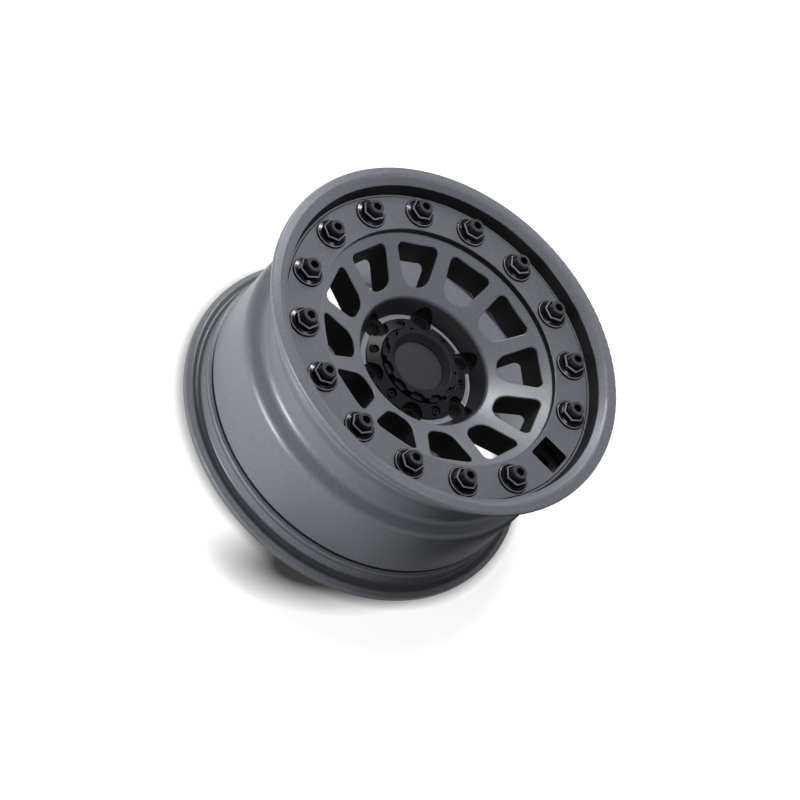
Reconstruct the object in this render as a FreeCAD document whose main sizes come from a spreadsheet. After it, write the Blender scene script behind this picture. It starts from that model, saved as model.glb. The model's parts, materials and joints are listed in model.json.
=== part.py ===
import FreeCAD, Part
import math
import os
import re
import Sketcher

# Cast off-road car wheel lying on its inboard flange.
# Frame: origin at the centre of the hub mounting face, +Z along the wheel axis to the outboard face,
# +X through the valve window.  Lengths are millimetres and angles are degrees.

doc = FreeCAD.newDocument("wheel")
sheet = doc.addObject("Spreadsheet::Sheet", "Sizes")

SIZES = [
    # rim, both flanges and the tyre side of the barrel
    ("rim_width", 215.9),
    ("rim_offset", 10.0),
    ("bead_radius", 218.3),
    ("bead_drop", 1.4),
    ("bead_length", 17.0),
    ("bead_fillet", 6.0),
    ("hump_rise", 1.8),
    ("hump_run", 2.6),
    ("hump_top", 4.3),
    ("hump_fillet", 1.2),
    ("groove_depth", 2.4),
    ("groove_width", 3.2),
    ("groove_fillet", 0.6),
    ("flange_root_radius", 229.0),
    ("flange_root_fillet", 4.0),
    ("lip_radius", 236.0),
    ("lip_height", 12.25),
    ("lip_back", 4.5),
    ("lip_edge_drop", 2.0),
    ("lip_edge_fillet", 2.4),
    ("lip_crest_radius", 222.7),
    ("lip_crest_round", 8.0),
    ("lip_crest_fillet", 1.5),
    ("lip_bore_radius", 213.6),
    ("lip_bore_drop", 7.1),
    ("lip_foot_radius", 209.0),
    ("ledge_drop", 0.8),
    ("rear_flange_radius", 235.3),
    ("rear_flange_depth", 13.5),
    ("rear_band", 4.4),
    ("rear_edge_fillet", 3.0),
    ("flare_radius", 224.0),
    ("flare_length", 16.0),
    ("barrel_radius", 215.2),
    ("barrel_wall", 5.6),
    ("barrel_front", -2.0),
    ("barrel_fillet", 14.0),
    ("drop_radius", 196.4),
    ("drop_rear", 12.0),
    ("drop_front", 40.0),
    ("shoulder_radius", 213.5),
    # spoked disc
    ("seat_radius", 207.2),
    ("seat_height", 79.4),
    ("face_radius", 160.5),
    ("well_radius", 89.0),
    ("well_height", 49.8),
    ("well_fillet", 2.5),
    ("well_floor_radius", 75.5),
    ("well_floor_fillet", 1.5),
    ("back_rim_radius", 159.0),
    ("back_rim_height", 39.0),
    ("back_root_radius", 92.0),
    ("back_root_height", 8.0),
    ("rib_foot_height", 28.0),
    ("spoke_count", 12),
    ("window_outer", 148.9),
    ("window_outer_half", 30.5),
    ("window_outer_round", 7.0),
    ("window_inner", 100.5),
    ("window_inner_half", 15.5),
    ("window_inner_round", 17.0),
    ("window_edge_fillet", 1.5),
    ("relief_inner", 161.5),
    ("relief_inner_half", 33.5),
    ("relief_outer", 184.0),
    ("relief_outer_half", 39.5),
    ("relief_round", 8.0),
    ("shelf_thickness", 14.0),
    # hub
    ("hub_height", 26.2),
    ("bore_radius", 53.05),
    ("bore_chamfer", 1.5),
    ("bore_depth", 12.5),
    ("cap_bore_radius", 50.0),
    ("pad_radius", 80.0),
    ("pad_step", 2.0),
    ("pad_relief", 6.0),
    ("lug_count", 6),
    ("lug_circle", 139.7),
    ("lug_hole_radius", 7.5),
    ("lug_seat_radius", 9.5),
    ("lug_seat_angle", 30.0),
    ("lug_pocket_radius", 14.75),
    ("lug_pocket_floor", 24.5),
    ("lug_pocket_reach", 60.0),
    ("pad_pocket_inner", 60.0),
    ("pad_pocket_inner_half", 9.0),
    ("pad_pocket_outer", 76.0),
    ("pad_pocket_outer_half", 13.0),
    ("pad_pocket_round", 5.0),
    ("pad_pocket_depth", 9.0),
    # valve window, its pocket in the casting and the valve hole
    ("valve_window_radius", 184.4),
    ("valve_window_half", 18.0),
    ("valve_window_round", 3.0),
    ("valve_pocket_depth", 8.0),
    ("valve_pocket_fillet", 2.0),
    ("valve_hole_radius", 5.75),
    ("valve_hole_slope", 37.0),
    ("valve_hole_length", 48.0),
    ("valve_hole_start", 10.0),
    # bolted ring and its fasteners
    ("ring_bore_radius", 161.3),
    ("ring_radius", 206.2),
    ("ring_thickness", 8.0),
    ("ring_edge", 0.7),
    ("stud_places", 16),
    ("stud_count", 15),
    ("stud_circle", 370.2),
    ("stud_radius", 9.25),
    ("stud_stand", 18.5),
    ("stud_depth", 10.5),
    ("stud_tip_chamfer", 0.6),
    ("stud_hole_gap", 0.05),
    ("stud_hole_spare", 1.0),
    ("ring_hole_gap", 0.6),
    ("nut_hole_gap", 0.1),
    ("washer_hole_gap", 0.4),
    ("socket_across", 10.0),
    ("socket_depth", 9.0),
    ("washer_radius", 20.0),
    ("washer_thickness", 1.2),
    ("nut_flange_radius", 19.0),
    ("nut_flange_edge", 1.4),
    ("nut_flange_rise", 1.2),
    ("nut_neck_radius", 14.3),
    ("nut_flange_fillet", 0.8),
    ("nut_across", 25.4),
    ("nut_height", 9.3),
    ("nut_chamfer", 1.3),
    # centre cap
    ("cap_radius", 68.4),
    ("cap_edge", 3.4),
    ("cap_skirt_radius", 52.4),
    ("cap_skirt_height", 10.5),
    ("cap_groove_height", 6.8),
    ("crown_radius", 48.8),
    ("crown_height", 16.7),
    ("crown_bore_radius", 40.6),
    ("dish_radius", 34.2),
    ("dish_height", 9.4),
    ("crown_fillet", 0.6),
    ("cap_floor", 3.0),
    ("cap_plug_gap", 0.15),
    ("cap_plug_wall", 3.0),
    ("cap_plug_length", 12.0),
    ("cap_lug_gap", 0.3),
    ("notch_inner", 44.3),
    ("notch_inner_half", 5.0),
    ("notch_outer", 50.5),
    ("notch_outer_half", 11.5),
    ("notch_round", 1.0),
    ("notch_floor", 11.8),
    ("tooth_inner", 46.0),
    ("tooth_inner_half", 5.6),
    ("tooth_outer", 51.3),
    ("tooth_outer_half", 7.4),
    ("tooth_round", 0.8),
    ("emblem_radius", 33.0),
    ("emblem_gap", 0.25),
    ("emblem_height", 6.8),
    ("emblem_edge", 1.6),
    ("emblem_rise", 1.4),
    ("emblem_bevel", 0.5),
    ("screw_circle", 122.0),
    ("screw_count", 6),
    ("screw_radius", 2.5),
    ("screw_hole_gap", 0.05),
    ("screw_slip_gap", 0.3),
    ("screw_depth", 10.0),
    ("screw_hole_spare", 1.0),
    ("screw_head_radius", 4.4),
    ("screw_head_height", 3.2),
    ("screw_head_fillet", 0.4),
    ("screw_socket_across", 4.0),
    ("screw_socket_depth", 2.0),
    ("counterbore_radius", 6.3),
    ("counterbore_floor", 3.0),
]

for row, (alias, number) in enumerate(SIZES, start=1):
    sheet.set("A%d" % row, alias)
    sheet.set("B%d" % row, str(number))
    sheet.setAlias("B%d" % row, alias)
doc.recompute()

FUNCTIONS = {"cos", "sin", "tan", "sqrt"}


def tie(text):
    """Turns a formula in size names into an expression that reads the sheet."""
    def prefix(match):
        word = match.group(0)
        return word if word in FUNCTIONS else "Sizes." + word
    return re.sub(r"[a-z][a-z_]*", prefix, text)


def size(text):
    """Number that a formula in size names has now."""
    number = sheet.evalExpression(tie(text))
    return float(getattr(number, "Value", number))


def new_body(label):
    body = doc.addObject("PartDesign::Body", label)
    body.Label = label
    return body


def origin(body, role):
    return [feature for feature in body.Origin.OriginFeatures if feature.Role == role][0]


def level_sketch(body, name, height, turn="0"):
    """Sketch across the wheel axis at a height, turned about the axis."""
    sketch = body.newObject("Sketcher::SketchObject", name)
    sketch.AttachmentSupport = [(origin(body, "XY_Plane"), "")]
    sketch.MapMode = "FlatFace"
    spin = FreeCAD.Rotation(FreeCAD.Vector(0, 0, 1), size(turn))
    sketch.AttachmentOffset = FreeCAD.Placement(FreeCAD.Vector(0, 0, size(height)), spin)
    sketch.setExpression("AttachmentOffset.Base.z", tie(height))
    if turn != "0":
        sketch.setExpression("AttachmentOffset.Rotation.Angle", tie(turn))
    return sketch


def radial_sketch(body, name, turn="0"):
    """Sketch in a plane through the wheel axis: its x is the radius and its y is the height."""
    sketch = body.newObject("Sketcher::SketchObject", name)
    sketch.AttachmentSupport = [(origin(body, "XZ_Plane"), "")]
    sketch.MapMode = "FlatFace"
    if turn != "0":
        spin = FreeCAD.Rotation(FreeCAD.Vector(0, 1, 0), size(turn))
        sketch.AttachmentOffset = FreeCAD.Placement(FreeCAD.Vector(0, 0, 0), spin)
        sketch.setExpression("AttachmentOffset.Rotation.Angle", tie(turn))
    return sketch


def tie_point(sketch, shape, end, x, y):
    """Ties one point of a sketch to two formulas."""
    across = sketch.addConstraint(Sketcher.Constraint("DistanceX", -1, 1, shape, end, size(x)))
    along = sketch.addConstraint(Sketcher.Constraint("DistanceY", -1, 1, shape, end, size(y)))
    sketch.setExpression("Constraints[%d]" % across, tie(x))
    sketch.setExpression("Constraints[%d]" % along, tie(y))


def draw_polygon(sketch, corners):
    """Closed polygon with every corner tied to the sheet."""
    spots = [FreeCAD.Vector(size(x), size(y), 0) for x, y in corners]
    count = len(spots)
    lines = [Part.LineSegment(spots[i], spots[(i + 1) % count]) for i in range(count)]
    shapes = sketch.addGeometry(lines, False)
    for i in range(count):
        sketch.addConstraint(Sketcher.Constraint("Coincident", shapes[i], 2, shapes[(i + 1) % count], 1))
    for shape, (x, y) in zip(shapes, corners):
        tie_point(sketch, shape, 1, x, y)


def draw_circle(sketch, x, y, radius):
    centre = FreeCAD.Vector(size(x), size(y), 0)
    shape = sketch.addGeometry(Part.Circle(centre, FreeCAD.Vector(0, 0, 1), size(radius)), False)
    tie_point(sketch, shape, 3, x, y)
    bound = sketch.addConstraint(Sketcher.Constraint("Radius", shape, size(radius)))
    sketch.setExpression("Constraints[%d]" % bound, tie(radius))


def draw_rounded(sketch, corners):
    """Closed loop of lines with tangent arcs; corners are (x, y, radius) formulas, or (x, y) where sharp."""
    spots = [FreeCAD.Vector(size(corner[0]), size(corner[1]), 0) for corner in corners]
    count = len(spots)
    trims = []
    for i, corner in enumerate(corners):
        if len(corner) == 2:
            trims.append((spots[i], spots[i], spots[i]))
            continue
        radius = size(corner[2])
        before = (spots[i - 1] - spots[i]).normalize()
        after = (spots[(i + 1) % count] - spots[i]).normalize()
        half = before.getAngle(after) / 2
        reach = radius / math.tan(half)
        middle = (before + after).normalize()
        centre = spots[i] + middle * (radius / math.sin(half))
        trims.append((spots[i] + before * reach, centre - middle * radius, spots[i] + after * reach))
    lines = []
    for i in range(count):
        following = trims[(i + 1) % count]
        lines.append(sketch.addGeometry(Part.LineSegment(trims[i][2], following[0]), False))
    for i, corner in enumerate(corners):
        if len(corner) == 2:
            sketch.addConstraint(Sketcher.Constraint("Coincident", lines[i - 1], 2, lines[i], 1))
            tie_point(sketch, lines[i], 1, corner[0], corner[1])
            continue
        entry, crown, leave = trims[i]
        arc = sketch.addGeometry(Part.Arc(entry, crown, leave), False)
        first = sketch.getPoint(arc, 1)
        start, finish = (1, 2) if first.distanceToPoint(entry) < 1e-6 else (2, 1)
        sketch.addConstraint(Sketcher.Constraint("Tangent", lines[i - 1], 2, arc, start))
        sketch.addConstraint(Sketcher.Constraint("Tangent", arc, finish, lines[i], 1))
        bound = sketch.addConstraint(Sketcher.Constraint("Radius", arc, size(corner[2])))
        sketch.setExpression("Constraints[%d]" % bound, tie(corner[2]))
        point = sketch.addGeometry(Part.Point(spots[i]), True)
        sketch.addConstraint(Sketcher.Constraint("PointOnObject", point, 1, lines[i - 1]))
        sketch.addConstraint(Sketcher.Constraint("PointOnObject", point, 1, lines[i]))
        tie_point(sketch, point, 1, corner[0], corner[1])


def hexagon(x, across):
    """Corners of a hexagon with two flats facing along x."""
    side = "(%s) / 2" % across
    low = "(%s) / (2 * sqrt(3))" % across
    high = "(%s) / sqrt(3)" % across
    return [
        ("%s + %s" % (x, side), low),
        (x, high),
        ("%s - %s" % (x, side), low),
        ("%s - %s" % (x, side), "-" + low),
        (x, "-" + high),
        ("%s + %s" % (x, side), "-" + low),
    ]


def revolve(body, name, sketch, kind="PartDesign::Revolution", axis="V_Axis"):
    feature = body.newObject(kind, name)
    feature.Profile = sketch
    feature.ReferenceAxis = (sketch, [axis])
    feature.Angle = 360
    sketch.Visibility = False
    doc.recompute()
    return feature


def sink(body, name, sketch, depth, upward=False):
    """Pocket from a level sketch down, or up, by a depth."""
    before = body.Shape.Volume
    feature = body.newObject("PartDesign::Pocket", name)
    feature.Profile = sketch
    feature.Length = size(depth)
    feature.setExpression("Length", tie(depth))
    feature.Reversed = upward
    sketch.Visibility = False
    doc.recompute()
    if body.Shape.Volume >= before:
        raise RuntimeError(name + " removed nothing")
    return feature


def raise_up(body, name, sketch, height):
    feature = body.newObject("PartDesign::Pad", name)
    feature.Profile = sketch
    feature.Length = size(height)
    feature.setExpression("Length", tie(height))
    sketch.Visibility = False
    doc.recompute()
    return feature


def repeat(body, name, features, count, angle="360", whole=False):
    """Polar pattern about the wheel axis."""
    pattern = body.newObject("PartDesign::PolarPattern", name)
    if whole:
        pattern.TransformMode = "Whole shape"
    else:
        pattern.Originals = features
    pattern.Axis = (origin(body, "Z_Axis"), [""])
    pattern.Angle = size(angle)
    pattern.Occurrences = int(round(size(count)))
    pattern.setExpression("Occurrences", tie(count))
    if angle != "360":
        pattern.setExpression("Angle", tie(angle))
    body.Tip = pattern
    doc.recompute()
    return pattern


def ring_edges(body, spots, reach="0"):
    """Names of the circles at (radius, height) places about an axis at a reach from the wheel axis."""
    wanted = [(size(r), size(z)) for r, z in spots]
    names = []
    for number, edge in enumerate(body.Shape.Edges, start=1):
        if edge.Degenerated:
            continue
        curve = edge.Curve
        if not isinstance(curve, Part.Circle):
            continue
        if abs(math.hypot(curve.Center.x, curve.Center.y) - size(reach)) > 1e-4:
            continue
        if any(abs(curve.Radius - r) < 1e-4 and abs(curve.Center.z - z) < 1e-4 for r, z in wanted):
            names.append("Edge%d" % number)
    if len(names) < len(wanted):
        raise RuntimeError("an edge to round is missing")
    return names


def level_edges(body, height):
    """Names of the edges that lie wholly at one height."""
    names = []
    for number, edge in enumerate(body.Shape.Edges, start=1):
        box = edge.BoundBox
        if abs(box.ZMin - size(height)) < 1e-4 and abs(box.ZMax - size(height)) < 1e-4:
            names.append("Edge%d" % number)
    return names


def dress(body, kind, name, names, radius):
    """Fillet or chamfer on named edges of the body so far."""
    feature = body.newObject("PartDesign::" + kind, name)
    base = body.Tip if body.Tip is not feature else feature.BaseFeature
    feature.Base = (base, names)
    prop = "Radius" if kind == "Fillet" else "Size"
    setattr(feature, prop, size(radius))
    feature.setExpression(prop, tie(radius))
    body.Tip = feature
    doc.recompute()
    return feature


def axis_line(sketch, x, low, high):
    """Construction line parallel to the wheel axis, used to turn a profile about."""
    ends = (FreeCAD.Vector(size(x), size(low), 0), FreeCAD.Vector(size(x), size(high), 0))
    shape = sketch.addGeometry(Part.LineSegment(*ends), True)
    tie_point(sketch, shape, 1, x, low)
    tie_point(sketch, shape, 2, x, high)


FRONT_WALL = "(rim_width / 2 - rim_offset)"
REAR_WALL = "(0 - rim_width / 2 - rim_offset)"
CREST = FRONT_WALL + " + lip_height"
REAR_FACE = REAR_WALL + " - rear_flange_depth"
RING_FACE = "(seat_height + ring_thickness)"
LEDGE = "seat_height + ring_thickness - ledge_drop"
SEAT_END = "bead_radius - bead_drop"
HUMP = "bead_radius - bead_drop + hump_rise"
HUMP_REACH = "bead_length + 2 * hump_run + hump_top"
HUMP_FOOT = REAR_WALL + " + " + HUMP_REACH
STUD_LINE = "stud_circle / 2"
STUD_PITCH = "360 / stud_places"
STUD_SPAN = "360 / stud_places * (stud_count - 1)"
LUG_LINE = "lug_circle / 2"
SCREW_LINE = "screw_circle / 2"
HALF_SPOKE = "180 / spoke_count"
HALF_LUG = "180 / lug_count"


def build_casting():
    """One-piece casting: rim, spoked disc and hub."""
    body = new_body("wheel_casting")
    section = radial_sketch(body, "casting_section")
    draw_rounded(section, [
        ("bore_radius", "bore_chamfer"),
        ("bore_radius + bore_chamfer", "0"),
        ("pad_radius", "0"),
        ("pad_radius + pad_step", "pad_relief"),
        ("back_root_radius", "back_root_height"),
        ("back_rim_radius", "back_rim_height"),
        ("drop_radius - barrel_wall", "rib_foot_height"),
        ("drop_radius - barrel_wall", "drop_rear - barrel_wall / 2"),
        ("barrel_radius - barrel_wall", "barrel_front - barrel_wall / 2", "barrel_fillet"),
        ("barrel_radius - barrel_wall", REAR_WALL + " + flare_length", "barrel_fillet"),
        ("flare_radius", REAR_FACE, "rear_edge_fillet"),
        ("rear_flange_radius", REAR_FACE, "rear_edge_fillet"),
        ("rear_flange_radius", REAR_WALL + " - rear_band", "lip_crest_fillet"),
        ("flange_root_radius", REAR_WALL, "flange_root_fillet"),
        ("bead_radius", REAR_WALL, "bead_fillet"),
        (SEAT_END, REAR_WALL + " + bead_length"),
        (HUMP, REAR_WALL + " + bead_length + hump_run", "hump_fillet"),
        (HUMP, REAR_WALL + " + bead_length + hump_run + hump_top", "hump_fillet"),
        ("barrel_radius - groove_depth", HUMP_FOOT, "groove_fillet"),
        ("barrel_radius - groove_depth", HUMP_FOOT + " + groove_width", "groove_fillet"),
        ("barrel_radius", HUMP_FOOT + " + groove_width + groove_depth / 4", "groove_fillet"),
        ("barrel_radius", "barrel_front", "barrel_fillet"),
        ("drop_radius", "drop_rear", "barrel_fillet"),
        ("drop_radius", "drop_front", "barrel_fillet"),
        ("shoulder_radius", FRONT_WALL + " - (" + HUMP_REACH + ")"),
        (HUMP, FRONT_WALL + " - bead_length - hump_run - hump_top", "hump_fillet"),
        (HUMP, FRONT_WALL + " - bead_length - hump_run", "hump_fillet"),
        (SEAT_END, FRONT_WALL + " - bead_length"),
        ("bead_radius", FRONT_WALL, "bead_fillet"),
        ("flange_root_radius", FRONT_WALL, "flange_root_fillet"),
        ("lip_radius", FRONT_WALL + " + lip_back", "lip_crest_fillet"),
        ("lip_radius", CREST + " - lip_edge_drop", "lip_edge_fillet"),
        ("lip_crest_radius", CREST, "lip_crest_round"),
        ("lip_bore_radius", CREST + " - lip_bore_drop", "lip_crest_fillet"),
        ("lip_foot_radius", LEDGE),
        ("seat_radius", LEDGE),
        ("seat_radius", "seat_height"),
        ("face_radius", "seat_height"),
        ("well_radius", "well_height", "well_fillet"),
        ("well_floor_radius", "hub_height", "well_floor_fillet"),
        ("cap_bore_radius", "hub_height"),
        ("cap_bore_radius", "bore_depth"),
        ("bore_radius", "bore_depth"),
    ])
    revolve(body, "casting_turned", section)

    window = level_sketch(body, "window_outline", "seat_height", HALF_SPOKE)
    draw_rounded(window, [
        ("window_outer", "0 - window_outer_half", "window_outer_round"),
        ("window_outer", "window_outer_half", "window_outer_round"),
        ("window_inner", "window_inner_half", "window_inner_round"),
        ("window_inner", "0 - window_inner_half", "window_inner_round"),
    ])
    cut = sink(body, "window", window, "seat_height")
    repeat(body, "windows", [cut], "spoke_count")
    dress(body, "Fillet", "window_rounds", window_edges(body), "window_edge_fillet")

    relief = level_sketch(body, "relief_outline", "0", HALF_SPOKE)
    draw_rounded(relief, [
        ("relief_inner", "0 - relief_inner_half", "relief_round"),
        ("relief_outer", "0 - relief_outer_half", "relief_round"),
        ("relief_outer", "relief_outer_half", "relief_round"),
        ("relief_inner", "relief_inner_half", "relief_round"),
    ])
    cut = sink(body, "relief", relief, "seat_height - shelf_thickness", upward=True)
    repeat(body, "reliefs", [cut], "spoke_count")

    lug = radial_sketch(body, "lug_section")
    axis_line(lug, LUG_LINE, "0", "lug_pocket_reach")
    cone_foot = "lug_pocket_floor - (lug_seat_radius - lug_hole_radius) / tan(lug_seat_angle)"
    draw_polygon(lug, [
        (LUG_LINE, "0"),
        (LUG_LINE + " + lug_hole_radius", "0"),
        (LUG_LINE + " + lug_hole_radius", cone_foot),
        (LUG_LINE + " + lug_seat_radius", "lug_pocket_floor"),
        (LUG_LINE + " + lug_pocket_radius", "lug_pocket_floor"),
        (LUG_LINE + " + lug_pocket_radius", "lug_pocket_reach"),
        (LUG_LINE, "lug_pocket_reach"),
    ])
    cut = revolve(body, "lug_seat", lug, "PartDesign::Groove", "Axis0")
    repeat(body, "lug_seats", [cut], "lug_count")

    screw = level_sketch(body, "screw_hole_outline", "hub_height", HALF_LUG)
    draw_circle(screw, SCREW_LINE, "0", "screw_radius + screw_hole_gap")
    cut = sink(body, "screw_hole", screw, "screw_depth + screw_hole_spare")
    repeat(body, "screw_holes", [cut], "screw_count")

    pad = level_sketch(body, "pad_pocket_outline", "0", HALF_LUG)
    draw_rounded(pad, [
        ("pad_pocket_inner", "0 - pad_pocket_inner_half", "pad_pocket_round"),
        ("pad_pocket_outer", "0 - pad_pocket_outer_half", "pad_pocket_round"),
        ("pad_pocket_outer", "pad_pocket_outer_half", "pad_pocket_round"),
        ("pad_pocket_inner", "pad_pocket_inner_half", "pad_pocket_round"),
    ])
    cut = sink(body, "pad_pocket", pad, "pad_pocket_depth", upward=True)
    repeat(body, "pad_pockets", [cut], "lug_count")

    stud = level_sketch(body, "stud_hole_outline", "seat_height", STUD_PITCH)
    draw_circle(stud, STUD_LINE, "0", "stud_radius + stud_hole_gap")
    cut = sink(body, "stud_hole", stud, "stud_depth + stud_hole_spare")
    repeat(body, "stud_holes", [cut], "stud_count", STUD_SPAN)

    pocket = level_sketch(body, "valve_pocket_outline", "seat_height")
    draw_rounded(pocket, valve_corners())
    sink(body, "valve_pocket", pocket, "valve_pocket_depth")
    floor = level_edges(body, "seat_height - valve_pocket_depth")
    dress(body, "Fillet", "valve_pocket_round", floor, "valve_pocket_fillet")

    valve = radial_sketch(body, "valve_section")
    draw_valve_hole(valve)
    revolve(body, "valve_hole", valve, "PartDesign::Groove", "Axis0")
    return body


def window_edges(body):
    """Names of the edges where the window walls meet the dished spoke face."""
    rise = (size("seat_height") - size("well_height")) / (size("face_radius") - size("well_radius"))
    names = []
    for number, edge in enumerate(body.Shape.Edges, start=1):
        span = edge.ParameterRange
        spots = [edge.valueAt(span[0] + (span[1] - span[0]) * share) for share in (0.0, 0.37, 0.71, 1.0)]
        reach = [math.hypot(spot.x, spot.y) for spot in spots]
        if min(reach) < size("well_radius + well_fillet") or max(reach) > size("face_radius") - 1:
            continue
        foot, start = size("well_height"), size("well_radius")
        gaps = [spot.z - foot - rise * (r - start) for spot, r in zip(spots, reach)]
        if max(abs(gap) for gap in gaps) < 1e-3:
            names.append("Edge%d" % number)
    return names


def valve_corners():
    """Outline shared by the valve window in the ring and the pocket under it."""
    near = "valve_window_radius - valve_window_half"
    far = "valve_window_radius + valve_window_half"
    return [
        (near, "0 - valve_window_half", "valve_window_round"),
        (far, "0 - valve_window_half", "valve_window_round"),
        (far, "valve_window_half", "valve_window_round"),
        (near, "valve_window_half", "valve_window_round"),
    ]


def draw_valve_hole(sketch):
    """Half section of the valve hole about its sloping axis."""
    floor = "(seat_height - valve_pocket_depth)"
    out = "cos(valve_hole_slope)"
    down = "sin(valve_hole_slope)"
    start = ("valve_window_radius - valve_hole_start * " + out, floor + " + valve_hole_start * " + down)
    rest = "(valve_hole_length - valve_hole_start)"
    finish = ("valve_window_radius + " + rest + " * " + out, floor + " - " + rest + " * " + down)
    side = (" + valve_hole_radius * " + down, " + valve_hole_radius * " + out)
    ends = [FreeCAD.Vector(size(x), size(y), 0) for x, y in (start, finish)]
    axis = sketch.addGeometry(Part.LineSegment(*ends), True)
    tie_point(sketch, axis, 1, *start)
    tie_point(sketch, axis, 2, *finish)
    draw_polygon(sketch, [
        start,
        finish,
        (finish[0] + side[0], finish[1] + side[1]),
        (start[0] + side[0], start[1] + side[1]),
    ])


def build_ring():
    """Flat ring bolted into the recess behind the lip."""
    body = new_body("trim_ring")
    section = radial_sketch(body, "ring_section")
    draw_polygon(section, [
        ("ring_bore_radius", "seat_height"),
        ("ring_radius", "seat_height"),
        ("ring_radius", RING_FACE),
        ("ring_bore_radius", RING_FACE),
    ])
    revolve(body, "ring_turned", section)
    dress(body, "Fillet", "ring_rounds", ring_edges(body, [
        ("ring_radius", RING_FACE),
        ("ring_bore_radius", RING_FACE),
    ]), "ring_edge")
    hole = level_sketch(body, "ring_hole_outline", RING_FACE, STUD_PITCH)
    draw_circle(hole, STUD_LINE, "0", "stud_radius + ring_hole_gap")
    cut = sink(body, "ring_hole", hole, "ring_thickness")
    repeat(body, "ring_holes", [cut], "stud_count", STUD_SPAN)
    window = level_sketch(body, "valve_window_outline", RING_FACE)
    draw_rounded(window, valve_corners())
    sink(body, "valve_window", window, "ring_thickness")
    return body


def build_studs():
    """Threaded studs with a hexagon socket in the tip."""
    body = new_body("ring_studs")
    tip = RING_FACE + " + stud_stand"
    section = radial_sketch(body, "stud_section", STUD_PITCH)
    axis_line(section, STUD_LINE, "seat_height - stud_depth", tip)
    draw_polygon(section, [
        (STUD_LINE, "seat_height - stud_depth"),
        (STUD_LINE + " + stud_radius - stud_tip_chamfer", "seat_height - stud_depth"),
        (STUD_LINE + " + stud_radius", "seat_height - stud_depth + stud_tip_chamfer"),
        (STUD_LINE + " + stud_radius", tip + " - stud_tip_chamfer"),
        (STUD_LINE + " + stud_radius - stud_tip_chamfer", tip),
        (STUD_LINE, tip),
    ])
    revolve(body, "stud_turned", section, axis="Axis0")
    socket = level_sketch(body, "stud_socket_outline", tip, STUD_PITCH)
    draw_polygon(socket, hexagon(STUD_LINE, "socket_across"))
    sink(body, "stud_socket", socket, "socket_depth")
    repeat(body, "studs", [], "stud_count", STUD_SPAN, whole=True)
    return body


def build_washers():
    body = new_body("ring_washers")
    section = radial_sketch(body, "washer_section", STUD_PITCH)
    axis_line(section, STUD_LINE, RING_FACE, RING_FACE + " + washer_thickness")
    draw_polygon(section, [
        (STUD_LINE + " + stud_radius + washer_hole_gap", RING_FACE),
        (STUD_LINE + " + washer_radius", RING_FACE),
        (STUD_LINE + " + washer_radius", RING_FACE + " + washer_thickness"),
        (STUD_LINE + " + stud_radius + washer_hole_gap", RING_FACE + " + washer_thickness"),
    ])
    revolve(body, "washer_turned", section, axis="Axis0")
    repeat(body, "washers", [], "stud_count", STUD_SPAN, whole=True)
    return body


def build_nuts():
    """Hexagon nuts with a broad flange."""
    body = new_body("ring_nuts")
    foot = "(seat_height + ring_thickness + washer_thickness)"
    neck = foot + " + nut_flange_edge + nut_flange_rise"
    block = level_sketch(body, "nut_hexagon", foot, STUD_PITCH)
    draw_polygon(block, hexagon(STUD_LINE, "nut_across"))
    raise_up(body, "nut_block", block, "nut_height")
    dress(body, "Chamfer", "nut_top_edge", level_edges(body, foot + " + nut_height"), "nut_chamfer")
    flange = radial_sketch(body, "nut_flange_section", STUD_PITCH)
    axis_line(flange, STUD_LINE, foot, neck)
    draw_rounded(flange, [
        (STUD_LINE, foot),
        (STUD_LINE + " + nut_flange_radius", foot),
        (STUD_LINE + " + nut_flange_radius", foot + " + nut_flange_edge", "nut_flange_fillet"),
        (STUD_LINE + " + nut_neck_radius", neck, "nut_flange_fillet"),
        (STUD_LINE, neck),
    ])
    revolve(body, "nut_flange", flange, axis="Axis0")
    bore = level_sketch(body, "nut_bore_outline", foot + " + nut_height", STUD_PITCH)
    draw_circle(bore, STUD_LINE, "0", "stud_radius + nut_hole_gap")
    sink(body, "nut_bore", bore, "nut_height")
    repeat(body, "nuts", [], "stud_count", STUD_SPAN, whole=True)
    return body


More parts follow.
